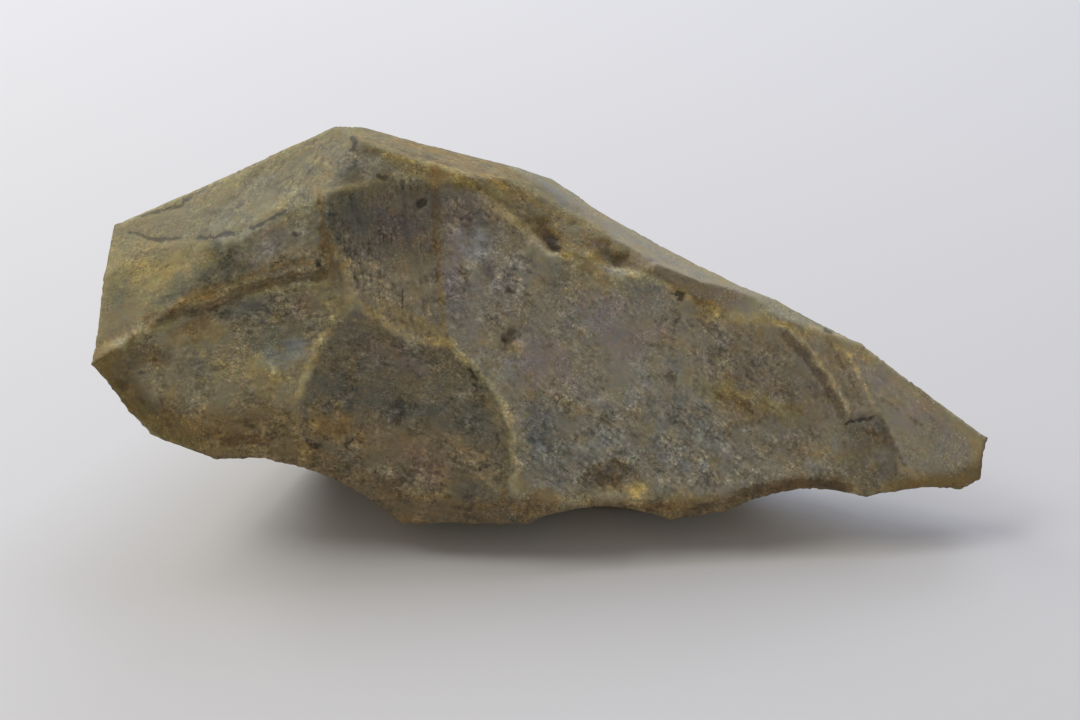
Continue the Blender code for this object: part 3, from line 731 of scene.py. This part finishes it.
def seen_share(points, normals, blocker):
    """How far each point is seen in the photograph: 1 where it faces the camera, 0 where it is hidden."""
    eye = view_axes()[0]
    to_eye = np.array(eye) - points
    to_eye /= np.linalg.norm(to_eye, axis=1)[:, None]
    facing = np.einsum("ij,ij->i", to_eye, normals)
    seen = smoothstep(facing / FADE_AT_RIM)
    for i in np.nonzero(seen > 0)[0]:
        start = Vector(points[i] + normals[i] * RAY_START_MM) * MM
        if blocker.ray_cast(start, Vector(to_eye[i]))[0] is not None:
            seen[i] = 0
    return seen


def distance_to_path(places, path):
    """The distance from each place to a bent line, in pixels."""
    nearest = np.full(len(places), np.inf)
    for start, end in zip(path, path[1:]):
        start, along = np.array(start, float), np.subtract(end, start).astype(float)
        share = np.clip((places - start) @ along / (along @ along), 0, 1)
        nearest = np.minimum(nearest, np.linalg.norm(places - start - share[:, None] * along, axis=1))
    return nearest


def inside_outline(places, outline):
    """Which places lie inside a closed outline."""
    inside = np.zeros(len(places), bool)
    x, y = places.T
    for (x0, y0), (x1, y1) in zip(outline, outline[1:] + outline[:1]):
        if y0 != y1:
            crosses = (y0 > y) != (y1 > y)
            inside ^= crosses & (x < x0 + (y - y0) / (y1 - y0) * (x1 - x0))
    return inside


def hackle_direction(turn, normal):
    """The direction in a face's own plane that appears in the photograph at a turn from the horizontal."""
    right, up, forward = (np.array(axis) for axis in view_axes()[1:])
    shown = right * math.cos(turn) - up * math.sin(turn)
    direction = shown - forward * (shown @ normal) / (forward @ normal)
    return direction / np.linalg.norm(direction)


def face_values(points, normals, places, seen):
    """The tone, roughness, strength of the grain and run of the hackles at each point of the stone."""
    patches = np.array([noise.fractal(Vector(p) / PATCH_MM, PATCH_FALLOFF, PATCH_SCALE_STEP, PATCH_OCTAVES)
                        for p in points])
    warm = smoothstep(0.5 + PATCH_CONTRAST * patches)[:, None]
    tone = np.array(linear(FLINT_COOL)[:3]) * (1 - warm) + np.array(linear(FLINT_WARM)[:3]) * warm
    rough = np.full(len(points), HIDDEN_ROUGH)
    busy = np.full(len(points), HIDDEN_BUSY)
    flow = np.tile(HIDDEN_FLOW, (len(points), 1))
    for field in FIELDS:
        edge = distance_to_path(places, field.outline + field.outline[:1])
        signed = np.where(inside_outline(places, field.outline), edge, -edge)
        share = smoothstep(0.5 + signed / (2 * field.soft)) * seen
        tone += (np.array(linear(field.tone)[:3]) - tone) * share[:, None]
        rough += (field.rough - rough) * share
        busy += (field.busy - busy) * share
        if field.turn is not None:
            mostly = share > 0.5
            flow[mostly] = hackle_direction(math.radians(field.turn), normals[mostly].mean(axis=0))
    return tone, rough, busy, flow


def photo_marks(places, shift, seen):
    """The marks that the photograph shows. Each gives its stain and, for every point, how far inside its rim
    the point lies and how deep the mark is there, in mm."""
    limit = np.where(seen > 0.5, REACH_MM, -REACH_MM)
    for spot in SPOTS:
        turn = math.radians(spot.turn)
        half_width = min(spot.half_long, spot.half_short) / PIXELS_PER_MM
        across, down = (places + shift * SPOT_WOBBLE * half_width - (spot.x, spot.y)).T
        long = (across * math.cos(turn) + down * math.sin(turn)) / spot.half_long
        short = (down * math.cos(turn) - across * math.sin(turn)) / spot.half_short
        distance = np.hypot(long, short)
        pit = spot.depth * smoothstep(PIT_REACH - distance) * seen
        yield spot.stain, np.minimum((1 - distance) * half_width, limit), pit
    for line in LINES:
        distance = distance_to_path(places, line.path)
        inside = (line.half_width - distance) / PIXELS_PER_MM * LINE_CRISPNESS
        groove_width = max(line.half_width, NARROWEST_GROOVE)
        groove = line.depth * smoothstep(GROOVE_REACH - distance / groove_width) * seen
        yield line.stain, np.minimum(inside, limit), groove


def hidden_marks(points, wobble, hidden):
    """Marks on the hidden sides, placed by fixed chance. Each gives the same as one of the photograph."""
    dice = random.Random(SCATTER_SEED)
    choices = np.nonzero(hidden)[0]
    limit = np.where(hidden, REACH_MM, -REACH_MM)
    for kind in SCATTERS:
        for mark in range(kind.count):
            centre = points[choices[dice.randrange(len(choices))]]
            size = dice.uniform(kind.smallest, kind.largest)
            squeeze = np.array([dice.uniform(*SCATTER_SQUEEZE) for axis in range(3)])
            offset = points + wobble * SPOT_WOBBLE * size - centre
            distance = np.linalg.norm(offset * squeeze, axis=1) / size
            pit = kind.depth * smoothstep(PIT_REACH - distance) * hidden
            yield kind.stain, np.minimum((1 - distance) * size, limit), pit


def ripple_heights(places):
    """The height in mm of the waves that each blow left, at every place in the photograph."""
    for ripple in RIPPLES:
        across, down = (places - (ripple.x, ripple.y)).T
        distance, turn = np.hypot(across, down), np.degrees(np.arctan2(down, across))
        strength = smoothstep((distance - ripple.near) / RIPPLE_NEAR_FADE)
        strength *= smoothstep((ripple.far - distance) / RIPPLE_FAR_FADE)
        strength *= (smoothstep((turn - ripple.start) / RIPPLE_SIDE_FADE_DEGREES)
                     * smoothstep((ripple.end - turn) / RIPPLE_SIDE_FADE_DEGREES))
        yield ripple.height * np.cos(math.tau * distance / ripple.spacing) * strength


def lay_marks(mesh, blocker):
    """Keeps the stone's tone, roughness, relief and stains, with the painted light, shade and sheen in them,
    as attributes of the skin. A stain is kept as the distance in mm from its rim, positive inside, so that a
    thin mark stays sharp between the vertices."""
    points, normals = points_of(mesh), normals_of(mesh)
    seen = seen_share(points, normals, blocker)
    noise.seed_set(WOBBLE_SEED)
    wobble = sum(np.array([noise.noise_vector(Vector(p) / width) for p in points])
                 for width in WOBBLE_WIDTHS_MM)
    straight = photo_places(points)
    shift = photo_places(points + wobble) - straight
    places = straight + shift * WOBBLE_MM
    tone, rough, busy, flow = face_values(points, normals, places, seen)

    inside = {name: np.full(len(points), -REACH_MM) for name in STAINS}
    relief = np.zeros(len(points))
    for stain, distance, depth in chain(photo_marks(places, shift, seen),
                                        hidden_marks(points, wobble, seen == 0)):
        inside[stain] = np.maximum(inside[stain], distance)
        relief -= depth
    for height in ripple_heights(places):
        relief += height * seen

    for name, values in {**inside, "rough": rough, "busy": busy, "relief": relief}.items():
        keep_values(mesh, name, "FLOAT", "value", values)
    keep_values(mesh, "flow", "FLOAT_VECTOR", "vector", flow)
    keep_values(mesh, "tone", "FLOAT_COLOR", "color", np.column_stack((tone, np.ones(len(points)))))


def make_skin_tree(material):
    """How a knapped stone wears: ridges round off and chip, faces undulate, grain stands out."""
    tree = bpy.data.node_groups.new("worn flint skin", "GeometryNodeTree")
    tree.interface.new_socket("Geometry", in_out="INPUT", socket_type="NodeSocketGeometry")
    for name, value in SKIN_SETTINGS.items():
        kind = "Int" if isinstance(value, int) else "Float"
        tree.interface.new_socket(name, in_out="INPUT", socket_type=f"NodeSocket{kind}")
    tree.interface.new_socket("Geometry", in_out="OUTPUT", socket_type="NodeSocketGeometry")
    given = tree.nodes.new("NodeGroupInput").outputs
    add = partial(add_node, tree)

    # A bulge is how far a point stands out from the stone around it, in mm
    position = add("GeometryNodeInputPosition")
    normal = add("GeometryNodeInputNormal")
    around = add("GeometryNodeBlurAttribute", {"Value": position, "Iterations": given["Ridge reach passes"]},
                 data_type="FLOAT_VECTOR")
    apart = add("ShaderNodeVectorMath", {0: position, 1: around}, operation="SUBTRACT")
    bulge = add("ShaderNodeVectorMath", {0: apart, 1: normal}, "Value", operation="DOT_PRODUCT")
    bulge = add("ShaderNodeMath", {0: bulge, 1: 1 / MM}, operation="MULTIPLY")

    # Thin edges are rounded less than blunt ridges, so that the outline keeps its place
    thin = add("GeometryNodeBlurAttribute", {"Value": bulge, "Iterations": given["Rounding passes"]},
               data_type="FLOAT")
    blunt = add("ShaderNodeMapRange",
                {"Value": thin, "From Min": THIN_EDGE_BULGE_MM[0], "From Max": THIN_EDGE_BULGE_MM[1],
                 "To Min": 1.0, "To Max": THIN_EDGE_ROUNDING}, interpolation_type="SMOOTHSTEP")
    rounded = add("GeometryNodeBlurAttribute",
                  {"Value": position, "Weight": blunt, "Iterations": given["Rounding passes"]},
                  data_type="FLOAT_VECTOR")
    stone = add("GeometryNodeSetPosition", {"Geometry": given["Geometry"], "Position": rounded})
    stone = add("GeometryNodeStoreNamedAttribute", {"Geometry": stone, "Name": "bulge", "Value": bulge},
                data_type="FLOAT", domain="POINT")

    # Swell and grain go both ways from the skin, chips only sink into it and keep to the ridges
    place = add("ShaderNodeVectorMath", {0: position, "Scale": 1 / MM}, operation="SCALE")
    patterns = {}
    for part, detail in RELIEF_DETAILS.items():
        scale = add("ShaderNodeMath", {0: 1.0, 1: given[f"{part} width"]}, operation="DIVIDE")
        patterns[part] = add("ShaderNodeTexNoise", {"Vector": place, "W": given["Seed"], "Scale": scale,
                                                    "Detail": detail}, noise_dimensions="4D")
    swell, grain = (add("ShaderNodeMath", {0: patterns[part], 1: MIDDLE}, operation="SUBTRACT")
                    for part in ("Swell", "Grain"))
    chip, on_ridge = (add("ShaderNodeMapRange", {"Value": value, "From Min": low, "From Max": high},
                          interpolation_type="SMOOTHSTEP")
                      for value, (low, high) in ((patterns["Chip"], CHIP_PATTERN), (bulge, RIDGE_BULGE_MM)))
    rough, height = (add("GeometryNodeInputNamedAttribute", {"Name": name}, data_type="FLOAT")
                     for name in ("rough", "relief"))
    for operation, part, factors in (("ADD", swell, [given["Swell height"]]),
                                     ("ADD", grain, [given["Grain height"], rough]),
                                     ("SUBTRACT", chip, [on_ridge, given["Chip depth"], rough])):
        for factor in factors:
            part = add("ShaderNodeMath", {0: part, 1: factor}, operation="MULTIPLY")
        height = add("ShaderNodeMath", {0: height, 1: part}, operation=operation)
    height = add("ShaderNodeMath", {0: height, 1: MM}, operation="MULTIPLY")
    offset = add("ShaderNodeVectorMath", {0: normal, "Scale": height}, operation="SCALE")
    stone = add("GeometryNodeSetPosition", {"Geometry": stone, "Offset": offset})

    stone = add("GeometryNodeSetShadeSmooth", {"Geometry": stone})
    stone = add("GeometryNodeRealizeInstances", {"Geometry": stone})
    stone = add("GeometryNodeSetMaterial", {"Geometry": stone, "Material": material})
    add("NodeGroupOutput", {"Geometry": stone})
    return tree


def wear(skin, material):
    """Wears the skin, turns it and its modifier into one plain mesh, and keeps it inside the CAD's box."""
    tree = make_skin_tree(material)
    rule = skin.modifiers.new("worn flint skin", "NODES")
    rule.node_group = tree
    for socket in tree.interface.items_tree:
        if socket.in_out == "INPUT" and socket.name in SKIN_SETTINGS:
            rule[socket.identifier] = SKIN_SETTINGS[socket.name]
    graph = bpy.context.evaluated_depsgraph_get()
    mesh = bpy.data.meshes.new_from_object(skin.evaluated_get(graph), preserve_all_data_layers=True,
                                           depsgraph=graph)
    skin.modifiers.clear()
    skin.data = mesh
    low, high = (np.array(corner) for corner in cad_box)
    places = np.clip(points_of(mesh) * MM, low, high)
    mesh.vertices.foreach_set("co", places.astype(np.float32).ravel())
    mesh.update()


def tinted(tree, colour, value, tint, cover):
    """Lays a tint over a colour, from nothing at the value where it starts to the cover where it ends."""
    share = add_node(tree, "ShaderNodeMapRange",
                     {"Value": value, "From Min": tint.start, "From Max": tint.end, "To Max": cover},
                     interpolation_type="SMOOTHSTEP")
    below = add_node(tree, "ShaderNodeVectorMath", {0: colour, 1: tint.leaves}, operation="MULTIPLY")
    return add_node(tree, "ShaderNodeMix", {"Factor": share, "A": colour, "B": below}, data_type="RGBA")


def make_flint():
    """Flint that was flaked and then weathered: matt to waxy, grey-brown, with iron stains on its ridges."""
    material = bpy.data.materials.new("weathered_knapped_flint")
    material.use_nodes = True
    tree = material.node_tree
    tree.nodes.clear()
    add = partial(add_node, tree)
    place = add("ShaderNodeTexCoord", out="Object")
    place = add("ShaderNodeVectorMath", {0: place, "Scale": 1 / MM}, operation="SCALE")

    # Hackles, the fine ribs that a blow leaves in flint, run with the blow and are longer than they are wide
    flow = add("ShaderNodeAttribute", out="Vector", attribute_name="flow")
    along = add("ShaderNodeVectorMath", {0: place, 1: flow}, "Value", operation="DOT_PRODUCT")
    along = add("ShaderNodeMath", {0: along, 1: 1 / HACKLE_STRETCH - 1}, operation="MULTIPLY")
    along = add("ShaderNodeVectorMath", {0: flow, "Scale": along}, operation="SCALE")
    drawn_out = add("ShaderNodeVectorMath", {0: place, 1: along}, operation="ADD")

    patterns = {}
    for name, pattern in PATTERNS.items():
        where = drawn_out if pattern.drawn_out else place
        patterns[name] = add("ShaderNodeTexNoise",
                             {"Vector": where, "W": pattern.seed, "Scale": 1 / pattern.width,
                              "Detail": pattern.detail, "Roughness": pattern.roughness},
                             noise_dimensions="4D")
    ragged = add("ShaderNodeMath", {0: patterns["ragged rim"], 1: MIDDLE}, operation="SUBTRACT")

    # Coarse and smooth patches of the flint take turns
    busy = add("ShaderNodeAttribute", out="Fac", attribute_name="busy")
    patchy = add("ShaderNodeMapRange",
                 {"Value": patterns["busy patch"], "From Min": BUSY_PATCH[0], "From Max": BUSY_PATCH[1],
                  "To Min": BUSY_RANGE[0], "To Max": BUSY_RANGE[1]}, interpolation_type="SMOOTHSTEP")
    busy = add("ShaderNodeMath", {0: busy, 1: patchy}, operation="MULTIPLY")

    # Clouds and wisps of iron, of grey-blue and of grey-green
    colour = add("ShaderNodeAttribute", out="Color", attribute_name="tone")
    for name, tint in CLOUDS.items():
        colour = tinted(tree, colour, patterns[name], tint, tint.cover)

    # Hairlines run along the hackles, where a pattern crosses its middle. They are dark where dirt sits in
    # them and pale where their rims are worn.
    for name, tint in HAIRLINES.items():
        level = add("ShaderNodeMath", {0: patterns[name], 1: MIDDLE}, operation="SUBTRACT")
        level = add("ShaderNodeMath", {0: level}, operation="ABSOLUTE")
        most = add("ShaderNodeMath", {0: busy, 1: tint.cover}, operation="MULTIPLY")
        cover = add("ShaderNodeMapRange",
                    {"Value": patterns[f"{name} patch"], "From Min": HAIRLINE_PATCH[0],
                     "From Max": HAIRLINE_PATCH[1], "To Max": most}, interpolation_type="SMOOTHSTEP")
        colour = tinted(tree, colour, level, tint, cover)

    for name, stain in STAINS.items():
        inside = add("ShaderNodeAttribute", out="Fac", attribute_name=name)
        inside = add("ShaderNodeMath", {0: ragged, 1: stain.ragged, 2: inside}, operation="MULTIPLY_ADD")
        tint = Tint(-stain.softness, stain.softness, stain.leaves, stain.cover)
        colour = tinted(tree, colour, inside, tint, tint.cover)

    # Ridges are rubbed down to a pale ochre, hollows are tinted a darker brown
    bulge = add("ShaderNodeAttribute", out="Fac", attribute_name="bulge")
    for tint, share in ((WORN_RIDGE, RIDGE_RAGGED), (DARKER_HOLLOW, HOLLOW_RAGGED)):
        uneven = add("ShaderNodeMath", {0: ragged, 1: share, 2: bulge}, operation="MULTIPLY_ADD")
        colour = tinted(tree, colour, uneven, tint, tint.cover)

    # Single pale and dark crystals lie in patches
    for tint in (PALE_CRYSTAL, DARK_CRYSTAL):
        cover = add("ShaderNodeMapRange",
                    {"Value": patterns["crystal patch"], "From Min": CRYSTAL_PATCH[0],
                     "From Max": CRYSTAL_PATCH[1], "To Max": tint.cover}, interpolation_type="SMOOTHSTEP")
        colour = tinted(tree, colour, patterns["crystals"], tint, cover)

    for name, strength in SHADING.items():
        contrast = add("ShaderNodeMath", {0: busy, 1: strength}, operation="MULTIPLY")
        shade = add("ShaderNodeMath", {0: patterns[name], 1: MIDDLE}, operation="SUBTRACT")
        shade = add("ShaderNodeMath", {0: shade, 1: contrast, 2: 1.0}, operation="MULTIPLY_ADD")
        colour = add("ShaderNodeVectorMath", {0: colour, "Scale": shade}, operation="SCALE")

    rough = add("ShaderNodeAttribute", out="Fac", attribute_name="rough")
    bumps = add("ShaderNodeMath", {0: patterns["hackle"], 1: HACKLE_BUMP, 2: patterns["grain"]},
                operation="MULTIPLY_ADD")
    bumps = add("ShaderNodeMath", {0: bumps, 1: rough}, operation="MULTIPLY")
    bump = add("ShaderNodeBump", {"Strength": BUMP_STRENGTH, "Distance": BUMP_MM * MM, "Height": bumps})
    gloss = add("ShaderNodeMath", {0: patterns["mottle"], 1: MOTTLED_ROUGHNESS, 2: LEAST_ROUGHNESS},
                operation="MULTIPLY_ADD")
    shader = add("ShaderNodeBsdfPrincipled",
                 {"Base Color": colour, "Roughness": gloss, "Normal": bump, "IOR": FLINT_IOR})
    add("ShaderNodeOutputMaterial", {"Surface": shader})
    return material


def make_table():
    """A pale table top of plain woven cotton, matt, with hardly any tone of its own."""
    material = bpy.data.materials.new("plain_woven_cotton")
    material.use_nodes = True
    shader = material.node_tree.nodes["Principled BSDF"]
    shader.inputs["Base Color"].default_value = linear(TABLE_COLOUR)
    shader.inputs["Roughness"].default_value = TABLE_ROUGHNESS
    bpy.ops.mesh.primitive_plane_add(size=TABLE_MM * MM)
    table = bpy.context.object
    table.name = "table"
    table.data.materials.append(material)


def light_scene():
    """Soft daylight from a window behind the stone and another on its left, with a weak fill all round."""
    world = bpy.data.worlds.new("soft room")
    bpy.context.scene.world = world
    world.use_nodes = True
    background = world.node_tree.nodes["Background"]
    background.inputs["Color"].default_value = linear(ROOM_COLOUR)
    background.inputs["Strength"].default_value = ROOM_STRENGTH
    for light in LIGHTS:
        data = bpy.data.lights.new(light.name, "AREA")
        data.shape = "RECTANGLE"
        data.size = light.width * MM
        data.size_y = light.height * MM
        data.energy = light.power
        data.color = linear(light.colour)[:3]
        window = bpy.data.objects.new(light.name, data)
        window.location = Vector(light.place) * MM
        window.rotation_euler = window.location.to_track_quat("Z", "Y").to_euler()
        bpy.context.scene.collection.objects.link(window)


def set_camera():
    """The camera at the photograph's viewpoint."""
    eye, right, up, forward = view_axes()
    data = bpy.data.cameras.new("camera")
    data.lens = LENS_MM
    data.sensor_width = SENSOR_WIDTH_MM
    data.clip_start = NEAREST_SEEN_MM * MM
    camera = bpy.data.objects.new("camera", data)
    camera.location = eye * MM
    camera.rotation_euler = forward.to_track_quat("-Z", "Y").to_euler()
    bpy.context.scene.collection.objects.link(camera)
    bpy.context.scene.camera = camera


def dress_axe():
    """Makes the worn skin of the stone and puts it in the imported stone's place."""
    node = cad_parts[AXE_NODE]
    corners = [v.co for v in node.data.vertices]
    blocker = BVHTree.FromPolygons(corners, [p.vertices for p in node.data.polygons])
    skin = fine_copy(node, "flint_skin")
    lay_marks(skin.data, blocker)
    wear(skin, make_flint())
    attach(skin, "root")
    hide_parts(AXE_NODE)


bpy.context.scene.view_settings.view_transform = "Standard"
dress_axe()
make_table()
light_scene()
set_camera()
